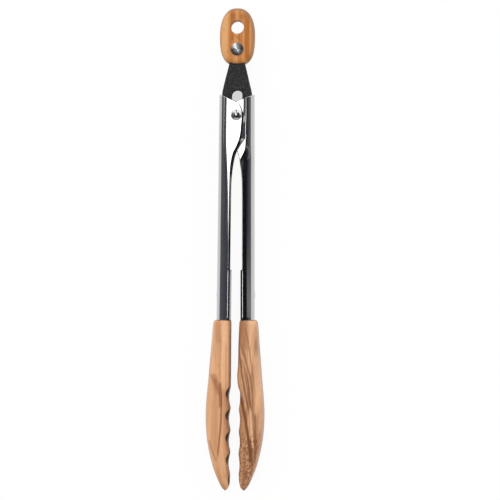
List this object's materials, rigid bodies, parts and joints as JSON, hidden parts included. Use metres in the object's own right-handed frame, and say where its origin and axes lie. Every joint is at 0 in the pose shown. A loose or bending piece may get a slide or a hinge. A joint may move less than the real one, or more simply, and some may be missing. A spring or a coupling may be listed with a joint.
{
  "type": "kitchen tongs",
  "caption": "Locking spring tongs with two channel arms on a rivet, wooden scalloped jaws in ferrules, and a pull-to-lock wedge slide with a wooden hanging tab.",
  "frame": {"origin": "middle of the underside of the bounding box, with the closed and locked tongs lying flat", "axes": "+Y from the jaw tips to the pull tab, +X towards the right arm, +Z along the pivot rivet, out of the front face"},
  "size_m": [0.0366, 0.3, 0.0244],
  "materials": {
    "arm_steel": "mirror polished stainless sheet",
    "jaw_wood": "smooth oiled olive wood",
    "tab_wood": "smooth oiled olive wood, warmer",
    "slide_plastic": "black moulded plastic with a fine texture",
    "rivet_steel": "polished",
    "tab_rivet_steel": "spun, with rings round its centre",
    "bush_steel": "turned",
    "spring_steel": "drawn spring wire",
    "screw_steel": "plain"
  },
  "bodies": {
    "pivot": {"pivot_rivet": "rivet_steel", "pivot_bush": "bush_steel", "torsion_spring": "spring_steel"},
    "left_side": {"left_arm": "arm_steel", "left_jaw": "jaw_wood", "left_jaw_screw": "screw_steel"},
    "right_side": {"right_arm": "arm_steel", "right_jaw": "jaw_wood", "right_jaw_screw": "screw_steel"},
    "lock": {"lock_slide": "slide_plastic", "pull_tab": "tab_wood", "tab_rivet": "tab_rivet_steel", "tab_rivet_socket": "tab_rivet_steel"}
  },
  "joints": [
    {"name": "left_arm_hinge", "type": "hinge", "parent": "pivot", "child": "left_side", "pos_m": [0, 0.0832, 0.0122], "axis": [0, 0, -1], "range_deg": [-0.7, 12]},
    {"name": "right_arm_hinge", "type": "hinge", "parent": "pivot", "child": "right_side", "pos_m": [0, 0.0832, 0.0122], "axis": [0, 0, 1], "range_deg": [-0.7, 12]},
    {"name": "lock_travel", "type": "slide", "parent": "pivot", "child": "lock", "axis": [0, -1, 0], "range_m": [-0.00075, 0.01245]}
  ],
  "couplings": [
    {"joint": "right_arm_hinge", "follows": "left_arm_hinge", "ratio": 1},
    {"joint": "lock_travel", "follows": "left_arm_hinge", "m_per_rad": 0.059206}
  ]
}
